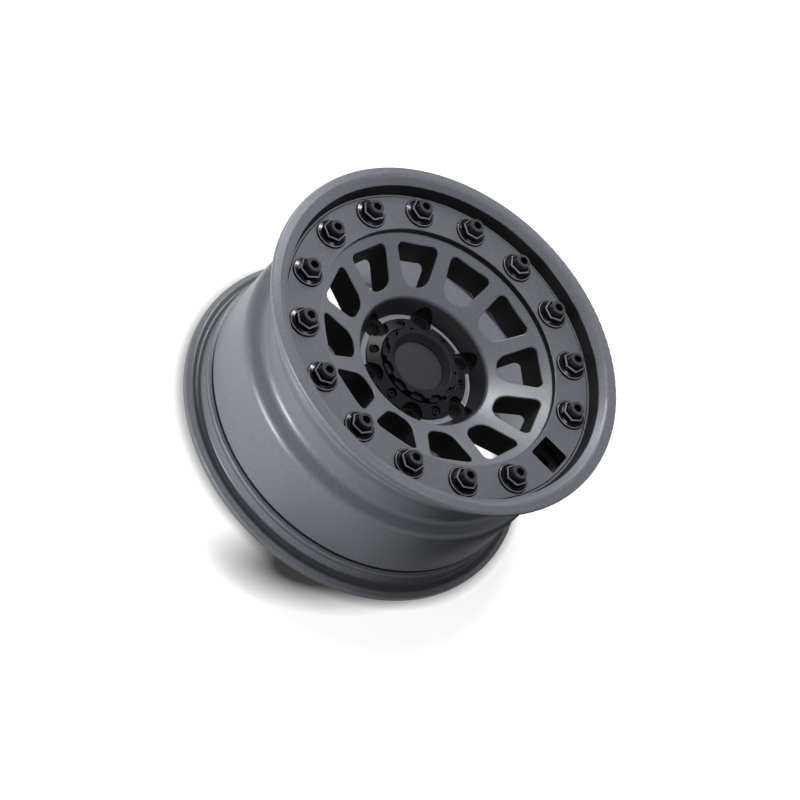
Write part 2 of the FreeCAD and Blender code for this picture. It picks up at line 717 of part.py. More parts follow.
def build_cap():
    """Centre cap: sloping skirt, castellated crown, dished top and a plug for the bore."""
    body = new_body("cap_body")
    plug = "cap_bore_radius - cap_plug_gap"
    section = radial_sketch(body, "cap_section")
    draw_rounded(section, [
        ("0", "hub_height + emblem_height - cap_floor"),
        (plug + " - cap_plug_wall", "hub_height + emblem_height - cap_floor"),
        (plug + " - cap_plug_wall", "hub_height - cap_plug_length"),
        (plug, "hub_height - cap_plug_length"),
        (plug, "hub_height"),
        ("cap_radius", "hub_height"),
        ("cap_radius", "hub_height + cap_edge"),
        ("cap_skirt_radius", "hub_height + cap_skirt_height", "crown_fillet"),
        ("cap_skirt_radius", "hub_height + cap_groove_height"),
        ("crown_radius", "hub_height + cap_groove_height"),
        ("crown_radius", "hub_height + crown_height", "crown_fillet"),
        ("crown_bore_radius", "hub_height + crown_height", "crown_fillet"),
        ("dish_radius", "hub_height + dish_height"),
        ("emblem_radius + emblem_gap", "hub_height + dish_height"),
        ("emblem_radius + emblem_gap", "hub_height + emblem_height"),
        ("0", "hub_height + emblem_height"),
    ])
    revolve(body, "cap_turned", section)
    notch = level_sketch(body, "notch_outline", "hub_height + crown_height")
    draw_rounded(notch, [
        ("notch_inner", "0 - notch_inner_half", "notch_round"),
        ("notch_outer", "0 - notch_outer_half", "notch_round"),
        ("notch_outer", "notch_outer_half", "notch_round"),
        ("notch_inner", "notch_inner_half", "notch_round"),
    ])
    cut = sink(body, "notch", notch, "crown_height - notch_floor")
    repeat(body, "notches", [cut], "spoke_count")
    tooth = level_sketch(body, "tooth_outline", "hub_height + cap_groove_height")
    draw_rounded(tooth, [
        ("tooth_inner", "0 - tooth_inner_half", "tooth_round"),
        ("tooth_outer", "0 - tooth_outer_half", "tooth_round"),
        ("tooth_outer", "tooth_outer_half", "tooth_round"),
        ("tooth_inner", "tooth_inner_half", "tooth_round"),
    ])
    block = raise_up(body, "tooth", tooth, "notch_floor - cap_groove_height")
    repeat(body, "teeth", [block], "spoke_count")
    lug = level_sketch(body, "cap_lug_outline", "hub_height + crown_height")
    draw_circle(lug, LUG_LINE, "0", "lug_pocket_radius + cap_lug_gap")
    cut = sink(body, "cap_scallop", lug, "crown_height")
    repeat(body, "cap_scallops", [cut], "lug_count")
    bore = level_sketch(body, "counterbore_outline", "hub_height + crown_height", HALF_LUG)
    draw_circle(bore, SCREW_LINE, "0", "counterbore_radius")
    cut = sink(body, "counterbore", bore, "crown_height - counterbore_floor")
    repeat(body, "counterbores", [cut], "screw_count")
    slip = level_sketch(body, "screw_slip_outline", "hub_height + counterbore_floor", HALF_LUG)
    draw_circle(slip, SCREW_LINE, "0", "screw_radius + screw_slip_gap")
    cut = sink(body, "screw_slip", slip, "counterbore_floor")
    repeat(body, "screw_slips", [cut], "screw_count")
    return body


def build_emblem():
    """Plain domed disc let into the cap, with a bevelled edge."""
    body = new_body("cap_emblem")
    foot = "hub_height + emblem_height"
    edge = foot + " + emblem_edge"
    top = edge + " + emblem_rise"
    brow = "emblem_radius - emblem_bevel"
    sketch = radial_sketch(body, "emblem_section")
    outline = [
        ("0", foot),
        ("emblem_radius", foot),
        ("emblem_radius", edge + " - emblem_bevel"),
        (brow, edge),
        ("0", top),
    ]
    spots = [FreeCAD.Vector(size(x), size(y), 0) for x, y in outline]
    bow = (size(brow) ** 2 + size("emblem_rise") ** 2) / (2 * size("emblem_rise"))
    share = math.asin(size(brow) / bow) / 2
    middle = FreeCAD.Vector(bow * math.sin(share), spots[4].y - bow + bow * math.cos(share), 0)
    chain = [sketch.addGeometry(Part.LineSegment(spots[i], spots[i + 1]), False) for i in range(3)]
    dome = sketch.addGeometry(Part.Arc(spots[3], middle, spots[4]), False)
    core = sketch.addGeometry(Part.LineSegment(spots[4], spots[0]), False)
    first = sketch.getPoint(dome, 1)
    start, finish = (1, 2) if first.distanceToPoint(spots[3]) < 1e-6 else (2, 1)
    for before, after in zip(chain, chain[1:]):
        sketch.addConstraint(Sketcher.Constraint("Coincident", before, 2, after, 1))
    sketch.addConstraint(Sketcher.Constraint("Coincident", chain[2], 2, dome, start))
    sketch.addConstraint(Sketcher.Constraint("Coincident", dome, finish, core, 1))
    sketch.addConstraint(Sketcher.Constraint("Coincident", core, 2, chain[0], 1))
    sketch.addConstraint(Sketcher.Constraint("PointOnObject", dome, 3, -2))
    for shape, spot in zip(chain, outline):
        tie_point(sketch, shape, 1, *spot)
    tie_point(sketch, chain[2], 2, *outline[3])
    tie_point(sketch, core, 1, *outline[4])
    revolve(body, "emblem_turned", sketch)
    return body


def build_screws():
    """Socket-head screws that hold the cap to the hub."""
    body = new_body("cap_screws")
    seat = "(hub_height + counterbore_floor)"
    head = seat + " + screw_head_height"
    section = radial_sketch(body, "screw_section", HALF_LUG)
    axis_line(section, SCREW_LINE, "hub_height - screw_depth", head)
    draw_polygon(section, [
        (SCREW_LINE, "hub_height - screw_depth"),
        (SCREW_LINE + " + screw_radius", "hub_height - screw_depth"),
        (SCREW_LINE + " + screw_radius", seat),
        (SCREW_LINE + " + screw_head_radius", seat),
        (SCREW_LINE + " + screw_head_radius", head + " - screw_head_fillet"),
        (SCREW_LINE + " + screw_head_radius - screw_head_fillet", head),
        (SCREW_LINE, head),
    ])
    revolve(body, "screw_turned", section, axis="Axis0")
    socket = level_sketch(body, "screw_socket_outline", head, HALF_LUG)
    draw_polygon(socket, hexagon(SCREW_LINE, "screw_socket_across"))
    sink(body, "screw_socket", socket, "screw_socket_depth")
    repeat(body, "screws", [], "screw_count", whole=True)
    return body


BODIES = [
    build_casting(),
    build_ring(),
    build_studs(),
    build_washers(),
    build_nuts(),
    build_cap(),
    build_emblem(),
    build_screws(),
]
doc.recompute()

for item in doc.Objects:
    if "Invalid" in item.State or "Error" in item.State or "Touched" in item.State:
        raise RuntimeError("%s did not recompute: %s" % (item.Name, item.State))
    if hasattr(item, "Shape") and not item.Shape.isNull() and not item.Shape.isValid():
        raise RuntimeError(item.Name + " is not valid")

os.makedirs("parts", exist_ok=True)
for body in BODIES:
    body.Shape.exportStep("parts/%s.step" % body.Label)
    box = body.Shape.BoundBox
    print(
        "%-14s solids %2d  volume %.0f  z %.2f to %.2f  radius %.2f"
        % (body.Label, len(body.Shape.Solids), body.Shape.Volume, box.ZMin, box.ZMax, box.XMax)
    )
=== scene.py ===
"""Looks of a cast off-road car wheel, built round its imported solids.

The solids give every form of the wheel.  This script paints them, cuts the fine thread of the
ring studs, and sets up the floor, the studio light and the camera.  Lengths are metres.
"""
from __future__ import annotations

import json
import logging
from dataclasses import dataclass
from enum import Enum

import bpy
import numpy as np
from mathutils import Matrix, Quaternion, Vector

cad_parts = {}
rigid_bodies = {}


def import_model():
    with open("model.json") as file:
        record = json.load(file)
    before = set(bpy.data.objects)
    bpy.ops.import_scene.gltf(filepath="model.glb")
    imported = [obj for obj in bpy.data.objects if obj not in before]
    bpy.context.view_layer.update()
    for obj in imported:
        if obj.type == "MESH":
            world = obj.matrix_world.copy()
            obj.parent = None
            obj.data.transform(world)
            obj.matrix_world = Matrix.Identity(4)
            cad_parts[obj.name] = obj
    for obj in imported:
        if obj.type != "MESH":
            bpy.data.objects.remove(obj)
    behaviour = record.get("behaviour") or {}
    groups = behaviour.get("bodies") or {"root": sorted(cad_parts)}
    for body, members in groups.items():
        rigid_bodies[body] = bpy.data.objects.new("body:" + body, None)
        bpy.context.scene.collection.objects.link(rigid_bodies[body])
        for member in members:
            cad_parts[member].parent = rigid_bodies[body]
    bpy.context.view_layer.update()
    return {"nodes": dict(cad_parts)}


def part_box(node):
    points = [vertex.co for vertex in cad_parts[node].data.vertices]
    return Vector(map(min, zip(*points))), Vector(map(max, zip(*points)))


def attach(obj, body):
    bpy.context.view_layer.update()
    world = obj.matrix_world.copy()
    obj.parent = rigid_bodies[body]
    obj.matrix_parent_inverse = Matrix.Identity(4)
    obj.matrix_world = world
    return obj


LOG = logging.getLogger("wheel")
BODY = "root"

Triple = tuple[float, float, float]
Socket = bpy.types.NodeSocket


class Coat(Enum):
    """Kinds of outer skin that a piece of the wheel has."""

    PAINT = "paint"
    PLATING = "plating"
    MOULDING = "moulding"


class Axes(Enum):
    """Numbers that a side of a patch is measured in."""

    TURNED = "radius and height"
    FLAT = "x, y and height"


FLECKS_PER_METRE = {Coat.PAINT: 900.0, Coat.PLATING: 1800.0, Coat.MOULDING: 1500.0}
DRIFT_PER_METRE = 14.0
DRIFT_DETAIL = 3.0
DRIFT_SPAN = (0.3, 0.7)
GRAIN_DETAIL = 2.0
GRAIN_ROUGHNESS = 0.55

# A Mix node's sockets for colours, which have the same names as its sockets for numbers.
MIX_FIRST, MIX_SECOND, MIX_RESULT = 6, 7, 2


class NodeBoard:
    """Thin hand on a node tree: adds nodes by type and joins their sockets."""

    def __init__(self, tree: bpy.types.NodeTree) -> None:
        """Keeps the tree."""
        self.tree = tree

    def add(self, kind: str, operation: str | None = None, **numbers: float) -> bpy.types.Node:
        """Adds a node and sets plain inputs by name.

        Args:
            kind: Type name of the node.
            operation: Operation of a math node.
            **numbers: Values of inputs.

        Returns:
            The node.
        """
        node = self.tree.nodes.new(kind)
        if operation is not None:
            node.operation = operation
        for name, number in numbers.items():
            node.inputs[name].default_value = number
        return node

    def find(self, kind: str) -> bpy.types.Node:
        """First node of a kind that the tree already has."""
        return next(node for node in self.tree.nodes if node.type == kind)

    def join(self, source: Socket, target: Socket) -> None:
        """Links an output to an input."""
        self.tree.links.new(source, target)

    def math(self, operation: str, first: Socket, second: Socket | float) -> Socket:
        """Joins two numbers by a math node.

        Args:
            operation: What the node does.
            first: First number.
            second: Second number, a socket or plain.

        Returns:
            The result socket.
        """
        node = self.add("ShaderNodeMath", operation=operation)
        self.join(first, node.inputs[0])
        if isinstance(second, float):
            node.inputs[1].default_value = second
        else:
            self.join(second, node.inputs[1])
        return node.outputs[0]

    def length(self, vector: Socket) -> Socket:
        """Length of a vector.

        Args:
            vector: The vector.

        Returns:
            The length socket.
        """
        node = self.add("ShaderNodeVectorMath", operation="LENGTH")
        self.join(vector, node.inputs[0])
        return node.outputs["Value"]

    def ramp(self, value: Socket, start: float, stop: float, low: float, high: float) -> Socket:
        """Maps a number from one span to another, held at the ends.

        Args:
            value: The number.
            start: Value that gives low.
            stop: Value that gives high.
            low: Result at the start.
            high: Result at the stop.

        Returns:
            The result socket.
        """
        node = self.add("ShaderNodeMapRange")
        ends = {"From Min": start, "From Max": stop, "To Min": low, "To Max": high}
        for name, number in ends.items():
            node.inputs[name].default_value = number
        self.join(value, node.inputs["Value"])
        return node.outputs["Result"]


def bare_material(name: str) -> tuple[bpy.types.Material, NodeBoard]:
    """Makes a material with an empty node tree.

    Args:
        name: Name of the material.

    Returns:
        The material and its node tree.
    """
    material = bpy.data.materials.new(name)
    material.use_nodes = True
    board = NodeBoard(material.node_tree)
    board.tree.nodes.clear()
    return material, board


def link(name: str, data: bpy.types.ID) -> bpy.types.Object:
    """Makes an object and puts it in the scene.

    Args:
        name: Name of the object.
        data: Its mesh, light or camera.

    Returns:
        The object, at the origin.
    """
    thing = bpy.data.objects.new(name, data)
    bpy.context.scene.collection.objects.link(thing)
    return thing


@dataclass(frozen=True)
class Side:
    """One side of a patch: the patch lies where the weighted place is over the start.

    Args:
        axes: Numbers that the weights go with.
        weights: Weight of each number.
        start: Weighted sum at which the patch begins.
        soft: Width over which the side fades in.
    """

    axes: Axes
    weights: Triple
    start: float
    soft: float = 0.0005


@dataclass(frozen=True)
class Patch:
    """Part of a surface, marked off by sides, with a colour laid over it: mostly painted shade
    in hollows and painted highlights on edges.

    Args:
        colour: Linear colour inside.
        sides: Sides that all hold inside.
        share: How fully the colour covers.
        roughness: Least roughness inside.
    """

    colour: Triple
    sides: tuple[Side, ...]
    share: float = 1.0
    roughness: float = 0.0


def band(low: float, high: float, soft: float = 0.0001) -> tuple[Side, ...]:
    """Sides of the slice between two heights.

    Args:
        low: Lower height.
        high: Upper height.
        soft: Width of the fade.

    Returns:
        The two sides.
    """
    return (
        Side(Axes.TURNED, (0.0, 1.0, 0.0), low, soft),
        Side(Axes.TURNED, (0.0, -1.0, 0.0), -high, soft),
    )


def tube(low: float, high: float, soft: float = 0.0002) -> tuple[Side, ...]:
    """Sides of the space between two radii about the wheel axis.

    Args:
        low: Inner radius.
        high: Outer radius.
        soft: Width of the fade.

    Returns:
        The two sides.
    """
    return (
        Side(Axes.TURNED, (1.0, 0.0, 0.0), low, soft),
        Side(Axes.TURNED, (-1.0, 0.0, 0.0), -high, soft),
    )


@dataclass(frozen=True)
class Finish:
    """One surface finish, in plain shader terms.

    Args:
        name: Name of the material.
        coat: Kind of skin, which sets the flecks.
        colour: Linear base colour.
        metallic: Share of metal in the look.
        roughness: Middle roughness.
        roughness_swing: How far the roughness drifts over the surface.
        grain: Repeats per metre of the fine grain.
        grain_height: Height of the fine grain in metres.
        fleck: How far single flecks differ in brightness, as a share.
        specular: Specular level.
        patches: Parts of the surface with another colour, mostly painted shade and painted
            highlights.
    """

    name: str
    coat: Coat
    colour: Triple
    metallic: float
    roughness: float
    roughness_swing: float
    grain: float
    grain_height: float
    fleck: float
    specular: float
    patches: tuple[Patch, ...] = ()

    def build(self) -> bpy.types.Material:
        """Makes the node material: flecked colour, drifting roughness and a fine grain.

        Returns:
            The new material.
        """
        material = bpy.data.materials.new(self.name)
        material.use_nodes = True
        board = NodeBoard(material.node_tree)
        shader = board.find("BSDF_PRINCIPLED")
        shader.inputs["Metallic"].default_value = self.metallic
        shader.inputs["Specular IOR Level"].default_value = self.specular
        place = board.add("ShaderNodeTexCoord").outputs["Object"]
        covers = self._covers(board, place)
        board.join(self._colour(board, place, covers), shader.inputs["Base Color"])
        board.join(self._roughness(board, place, covers), shader.inputs["Roughness"])
        board.join(self._grain(board, place), shader.inputs["Normal"])
        return material

    def _colour(self, board: NodeBoard, place: Socket, covers: list[Socket]) -> Socket:
        """Colour that varies a little from fleck to fleck, with the patches, mostly painted shade
        and painted highlights, laid over it.

        Args:
            board: Node tree being filled.
            place: Object coordinates.
            covers: How far each patch covers.

        Returns:
            The colour socket.
        """
        cells = board.add("ShaderNodeTexVoronoi", Scale=FLECKS_PER_METRE[self.coat])
        board.join(place, cells.inputs["Vector"])
        split = board.add("ShaderNodeSeparateColor")
        board.join(cells.outputs["Color"], split.inputs["Color"])
        gain = board.ramp(split.outputs["Red"], 0.0, 1.0, 1.0 - self.fleck, 1.0 + self.fleck)
        tint = board.add("ShaderNodeVectorMath", operation="SCALE")
        tint.inputs[0].default_value = self.colour
        board.join(gain, tint.inputs["Scale"])
        colour = tint.outputs["Vector"]
        for patch, cover in zip(self.patches, covers):
            blend = board.add("ShaderNodeMix")
            blend.data_type = "RGBA"
            board.join(cover, blend.inputs["Factor"])
            board.join(colour, blend.inputs[MIX_FIRST])
            blend.inputs[MIX_SECOND].default_value = (*patch.colour, 1.0)
            colour = blend.outputs[MIX_RESULT]
        return colour

    def _covers(self, board: NodeBoard, place: Socket) -> list[Socket]:
        """How far each patch covers a place.

        Args:
            board: Node tree being filled.
            place: Object coordinates.

        Returns:
            One socket to a patch.
        """
        level = board.add("ShaderNodeVectorMath", operation="MULTIPLY")
        board.join(place, level.inputs[0])
        level.inputs[1].default_value = (1.0, 1.0, 0.0)
        split = board.add("ShaderNodeSeparateXYZ")
        board.join(place, split.inputs["Vector"])
        turned = board.add("ShaderNodeCombineXYZ")
        board.join(board.length(level.outputs["Vector"]), turned.inputs["X"])
        board.join(split.outputs["Z"], turned.inputs["Y"])
        spots = {Axes.FLAT: place, Axes.TURNED: turned.outputs["Vector"]}
        return [self._cover(board, patch, spots) for patch in self.patches]

    def _cover(self, board: NodeBoard, patch: Patch, spots: dict[Axes, Socket]) -> Socket:
        """How far a patch covers a place: its share inside, nothing outside.

        Each side gives 0 to 1 over its fade, and the sides are multiplied.

        Args:
            board: Node tree being filled.
            patch: The patch.
            spots: Place in each kind of numbers.

        Returns:
            The cover socket.
        """
        cover: Socket | None = None
        for side in patch.sides:
            dot = board.add("ShaderNodeVectorMath", operation="DOT_PRODUCT")
            board.join(spots[side.axes], dot.inputs[0])
            dot.inputs[1].default_value = side.weights
            step = board.ramp(dot.outputs["Value"], side.start, side.start + side.soft, 0.0, 1.0)
            cover = step if cover is None else board.math("MULTIPLY", cover, step)
        return board.math("MULTIPLY", cover, patch.share)

    def _roughness(self, board: NodeBoard, place: Socket, covers: list[Socket]) -> Socket:
        """Roughness that drifts slowly over the surface and is higher in the dull patches.

        Args:
            board: Node tree being filled.
            place: Object coordinates.
            covers: How far each patch covers.

        Returns:
            The roughness socket.
        """
        drift = board.add("ShaderNodeTexNoise", Scale=DRIFT_PER_METRE, Detail=DRIFT_DETAIL)
        board.join(place, drift.inputs["Vector"])
        low = self.roughness - self.roughness_swing
        high = self.roughness + self.roughness_swing
        level = board.ramp(drift.outputs["Fac"], *DRIFT_SPAN, low, high)
        for patch, cover in zip(self.patches, covers):
            if patch.roughness > 0.0:
                dull = board.math("MULTIPLY", cover, patch.roughness)
                level = board.math("MAXIMUM", level, dull)
        return level

    def _grain(self, board: NodeBoard, place: Socket) -> Socket:
        """Fine bump of the skin: orange peel, plating crystals or mould texture.

        Args:
            board: Node tree being filled.
            place: Object coordinates.

        Returns:
            The normal socket.
        """
        noise = board.add(
            "ShaderNodeTexNoise", Scale=self.grain, Detail=GRAIN_DETAIL, Roughness=GRAIN_ROUGHNESS,
        )
        board.join(place, noise.inputs["Vector"])
        bump = board.add("ShaderNodeBump", Strength=1.0, Distance=self.grain_height)
        board.join(noise.outputs["Fac"], bump.inputs["Height"])
        return bump.outputs["Normal"]


# Near-black colour of the painted shade laid in the hollows, grooves and gaps of the wheel.
PAINTED_SHADE: Triple = (0.0045, 0.0046, 0.0052)
DULL = 0.95
# The disc's face lies where FACE_SLOPE * radius - height is FACE_START, and its back where
# height - BACK_SLOPE * radius is BACK_START.  The painted shade on the walls begins a little
# inside both.
FACE_SLOPE, FACE_START = 0.41399, -0.012955
BACK_SLOPE, BACK_START = 0.4627, -0.03455
WALL_INSET, WELL_INSET, BACK_INSET = 0.0010, 0.0012, 0.0003

# Painted shade: the side walls of the spoke windows are coloured near-black.
WINDOW_WALL_SHADE = Patch(PAINTED_SHADE, (
    Side(Axes.TURNED, (FACE_SLOPE, -1.0, 0.0), FACE_START + WALL_INSET),
    Side(Axes.TURNED, (-BACK_SLOPE, 1.0, 0.0), BACK_START + BACK_INSET, 0.0002),
    *tube(0.0900, 0.1597),
), roughness=DULL)
# Painted shade: the pockets behind the spokes, seen through the windows, are coloured near-black.
RIB_POCKET_SHADE = Patch(PAINTED_SHADE, (
    *band(-0.0040, 0.0788, 0.0006),
    *tube(0.1590, 0.1935),
), roughness=DULL)
# Painted shade: the inside of the barrel behind the windows is coloured near-black, fading in
# upwards from the back of the disc.
BARREL_DEPTH_SHADE = Patch(PAINTED_SHADE, (
    Side(Axes.TURNED, (0.0, 1.0, 0.0), -0.0310, 0.004),
    Side(Axes.TURNED, (-1.0, -1.343, 0.0), -0.2097),
    *band(-0.0450, 0.0180),
    *tube(0.1590, 0.2122),
), share=0.94, roughness=DULL)
# Painted shade: the wall of the hub well is coloured near-black.
WELL_WALL_SHADE = Patch(PAINTED_SHADE, (
    Side(Axes.TURNED, (FACE_SLOPE, -1.0, 0.0), FACE_START + WELL_INSET, 0.002),
    *band(0.0267, 0.2),
    *tube(0.0740, 0.0900),
), share=0.93)
# Painted shade: the lug pockets in the hub are coloured near-black.
LUG_POCKET_SHADE = Patch(PAINTED_SHADE, (
    *band(0.0030, 0.0258),
    *tube(0.0500, 0.0855),
), share=0.95, roughness=DULL)
# Painted shade: the wall inside the front lip is coloured near-black.
LIP_WALL_SHADE = Patch(PAINTED_SHADE, (
    *band(0.0870, 0.1024, 0.0006),
    *tube(0.2070, 0.2146),
), share=0.97, roughness=DULL)
# Painted shade: the gap between the trim ring and the casting is coloured black.
RING_GAP_SHADE = Patch(PAINTED_SHADE, (*band(0.0780, 0.0864), *tube(0.2060, 0.2078)))
# Painted shade: the pocket behind the valve window is coloured black.
VALVE_POCKET_SHADE = Patch(PAINTED_SHADE, (
    Side(Axes.FLAT, (1.0, 0.0, 0.0), 0.1650, 0.016),
    Side(Axes.FLAT, (-1.0, 0.0, 0.0), -0.2030),
    Side(Axes.FLAT, (0.0, 1.0, 0.0), -0.0184),
    Side(Axes.FLAT, (0.0, -1.0, 0.0), -0.0184),
    *band(0.0500, 0.0792),
))
# The ledge at the foot of the hub well is coloured lighter than the face round it.
WELL_LEDGE = Patch((0.235, 0.245, 0.275), (*band(0.0258, 0.0266), *tube(0.0640, 0.0762)))
# Painted shade: the groove at the root of the rear flange is darkened.
BEAD_ROOT_SHADE = Patch(PAINTED_SHADE, (
    *band(-0.1195, -0.1125, 0.003),
    *tube(0.2150, 0.2292, 0.001),
), share=0.85)
# Painted shade: the valley beside the rear bead hump is darkened.
HUMP_VALLEY_SHADE = Patch(PAINTED_SHADE, (
    *band(-0.1040, -0.0985, 0.002),
    *tube(0.2150, 0.2181, 0.0005),
), share=0.6)
# Painted shade: a groove of the barrel near the rear flange is coloured near-black.
RIM_GROOVE_SHADE = Patch(PAINTED_SHADE, (*band(-0.0960, -0.0868), *tube(0.2110, 0.2150)), share=0.95)
# Painted shade: the trim ring's side walls and underside are coloured near-black.
RING_WALL_SHADE = Patch(PAINTED_SHADE, band(0.0, 0.0866, 0.0003), share=0.97)
# Painted highlight: a light band on the chamfer at the top of each nut's hex.
NUT_CHAMFER_HIGHLIGHT = Patch((0.22, 0.23, 0.26), band(0.09650, 0.09785, 0.00005))
# Painted highlight: a light line round the outer edge of each nut's flange.
NUT_FLANGE_RIM_HIGHLIGHT = Patch((0.24, 0.25, 0.285), band(0.08930, 0.09025, 0.0001))
STUD_TIP = Patch((0.055, 0.057, 0.065), band(0.1047, 0.2))

WHEEL_PAINT = Finish(
    name="wheel_satin_grey", coat=Coat.PAINT, colour=(0.145, 0.153, 0.176), metallic=0.10,
    roughness=0.38, roughness_swing=0.03, grain=900.0, grain_height=0.000012,
    fleck=0.14, specular=0.4,
    patches=(
        WINDOW_WALL_SHADE, RIB_POCKET_SHADE, BARREL_DEPTH_SHADE, WELL_WALL_SHADE, LUG_POCKET_SHADE, WELL_LEDGE, LIP_WALL_SHADE,
        RING_GAP_SHADE, VALVE_POCKET_SHADE, BEAD_ROOT_SHADE, HUMP_VALLEY_SHADE, RIM_GROOVE_SHADE,
    ),
)
RING_PAINT = Finish(
    name="ring_satin_grey", coat=Coat.PAINT, colour=(0.138, 0.145, 0.166), metallic=0.10,
    roughness=0.40, roughness_swing=0.03, grain=900.0, grain_height=0.000012,
    fleck=0.14, specular=0.4,
    patches=(RING_WALL_SHADE,),
)
NUT_PLATING = Finish(
    name="nut_black_plate", coat=Coat.PLATING, colour=(0.0060, 0.0062, 0.0075), metallic=0.0,
    roughness=0.16, roughness_swing=0.03, grain=1600.0, grain_height=0.000003,
    fleck=0.15, specular=0.28,
    patches=(NUT_CHAMFER_HIGHLIGHT, NUT_FLANGE_RIM_HIGHLIGHT),
)
STUD_PLATING = Finish(
    name="stud_dark_plate", coat=Coat.PLATING, colour=(0.018, 0.0185, 0.021), metallic=0.1,
    roughness=0.32, roughness_swing=0.05, grain=1600.0, grain_height=0.000008,
    fleck=0.15, specular=0.4,
    patches=(STUD_TIP,),
)
WASHER_PLATING = Finish(
    name="washer_black_plate", coat=Coat.PLATING, colour=(0.0050, 0.0052, 0.0062), metallic=0.0,
    roughness=0.24, roughness_swing=0.05, grain=1600.0, grain_height=0.000008,
    fleck=0.15, specular=0.4,
)
CAP_MOULDING = Finish(
    name="cap_satin_black", coat=Coat.MOULDING, colour=(0.0150, 0.0154, 0.0195), metallic=0.0,
    roughness=0.42, roughness_swing=0.04, grain=2200.0, grain_height=0.000012,
    fleck=0.08, specular=0.18,
)
EMBLEM_MOULDING = Finish(
    name="emblem_bare_black", coat=Coat.MOULDING, colour=(0.034, 0.0345, 0.0415), metallic=0.0,
    roughness=0.38, roughness_swing=0.03, grain=1200.0, grain_height=0.000008,
    fleck=0.06, specular=0.35,
)
SCREW_PLATING = Finish(
    name="screw_black_plate", coat=Coat.PLATING, colour=(0.008, 0.0082, 0.0094), metallic=0.0,
    roughness=0.28, roughness_swing=0.05, grain=1600.0, grain_height=0.000008,
    fleck=0.15, specular=0.4,
)


@dataclass
class WheelSolids:
    """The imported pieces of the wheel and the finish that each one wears.

    Args:
        nodes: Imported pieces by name.
    """

    nodes: dict[str, bpy.types.Object]

    def dress(self) -> None:
        """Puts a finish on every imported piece."""
        wear = {
            "wheel_casting": WHEEL_PAINT,
            "trim_ring": RING_PAINT,
            "ring_studs": STUD_PLATING,
            "ring_washers": WASHER_PLATING,
            "ring_nuts": NUT_PLATING,
            "cap_body": CAP_MOULDING,
            "cap_emblem": EMBLEM_MOULDING,
            "cap_screws": SCREW_PLATING,
        }
        for name, finish in wear.items():
            piece = self.nodes[name]
            piece.data.materials.clear()
            piece.data.materials.append(finish.build())
            LOG.info("%s wears %s", name, finish.name)


@dataclass
class StudThreads:
    """Fine thread on the bare end of every ring stud.

    The thread is a ridge of three-cornered section carried along a helix.  Its height fades to
    nothing at both ends, so that the ridge runs out into the stud.

    Args:
        circle_radius: Radius of the circle that the studs stand on.
        places: Even places on the circle, of which the first is the valve window.
        count: Number of studs.
        stud_radius: Radius of a stud.
        pitch: Rise of the thread in one turn.
        low: Height of the thread's start.
        high: Height of its end.
        ridge: How far the crest stands out of the stud.
        foot: Half the width of the ridge.
        sink: How far the feet of the ridge lie inside the stud.
        steps_per_turn: Points to a turn.
        fade_turns: Turns over which the ridge runs out.
    """

    circle_radius: float = 0.1851
    places: int = 16
    count: int = 15
    stud_radius: float = 0.00925
    pitch: float = 0.0015
    low: float = 0.09825
    high: float = 0.10455
    ridge: float = 0.00025
    foot: float = 0.00055
    sink: float = 0.0002
    steps_per_turn: int = 36
    fade_turns: float = 0.5

    def build(self) -> bpy.types.Object:
        """Makes one mesh with the threads of all the studs.

        Returns:
            The thread object, at the origin.
        """
        turns = (self.high - self.low) / self.pitch
        steps = int(round(turns * self.steps_per_turn)) + 1
        along = np.linspace(0.0, turns, steps)
        ridge = self._ridge(along, turns)
        studs = self._on_studs(ridge)
        faces = self._faces(steps)
        shift = np.arange(self.count)[:, None, None] * ridge.shape[0]
        every = (shift + faces[None]).reshape(-1, 4)
        mesh = bpy.data.meshes.new("stud_threads")
        mesh.from_pydata(studs.reshape(-1, 3).tolist(), [], every.tolist())
        mesh.shade_smooth()
        piece = link("stud_threads", mesh)
        piece.data.materials.append(STUD_PLATING.build())
        return piece

    def _ridge(self, along: np.ndarray, turns: float) -> np.ndarray:
        """Ridge of one stud about its own axis.

        At turn t the section sits at angle 2 pi t and height low + pitch t.  Its two feet lie
        sunk in the stud, and its crest stands out by the ridge height times the fade.

        Args:
            along: Turns from the start, one per step.
            turns: Turns in all.

        Returns:
            Points in order step by step, three to a step.
        """
        fade = np.clip(np.minimum(along, turns - along) / self.fade_turns, 0.0, 1.0)
        angle = 2.0 * np.pi * along
        inner = self.stud_radius - self.sink
        crest = inner + (self.ridge + self.sink) * fade
        radius = np.stack([np.full_like(along, inner), crest, np.full_like(along, inner)], axis=1)
        height = self.low + self.pitch * along
        rise = np.stack([height - self.foot * fade, height, height + self.foot * fade], axis=1)
        return np.stack(
            [radius * np.cos(angle)[:, None], radius * np.sin(angle)[:, None], rise], axis=2
        ).reshape(-1, 3)

    def _on_studs(self, ridge: np.ndarray) -> np.ndarray:
        """Ridge repeated on every stud of the circle.

        Args:
            ridge: Points of one ridge about its own axis.

        Returns:
            Points by stud.
        """
        turn = 2.0 * np.pi * np.arange(1, self.count + 1) / self.places
        ways = np.stack([np.cos(turn), np.sin(turn), np.zeros_like(turn)], axis=1)
        return ridge[None] + (ways * self.circle_radius)[:, None]

    def _faces(self, steps: int) -> np.ndarray:
        """Quads of one ridge, which join each step's three points to the next step's.

        Args:
            steps: Steps along the ridge.

        Returns:
            Corner numbers, four to a face.
        """
        step = np.arange(steps - 1)[:, None] * 3
        side = np.arange(3)[None]
        after = (side + 1) % 3
        corners = [step + side, step + 3 + side, step + 3 + after, step + after]
        return np.stack(corners, axis=2).reshape(-1, 4)


class Glow(Enum):
    """What a lamp lights."""

    ALL = "surfaces and reflections"
    FILL = "surfaces alone"
    SHEEN = "reflections alone"


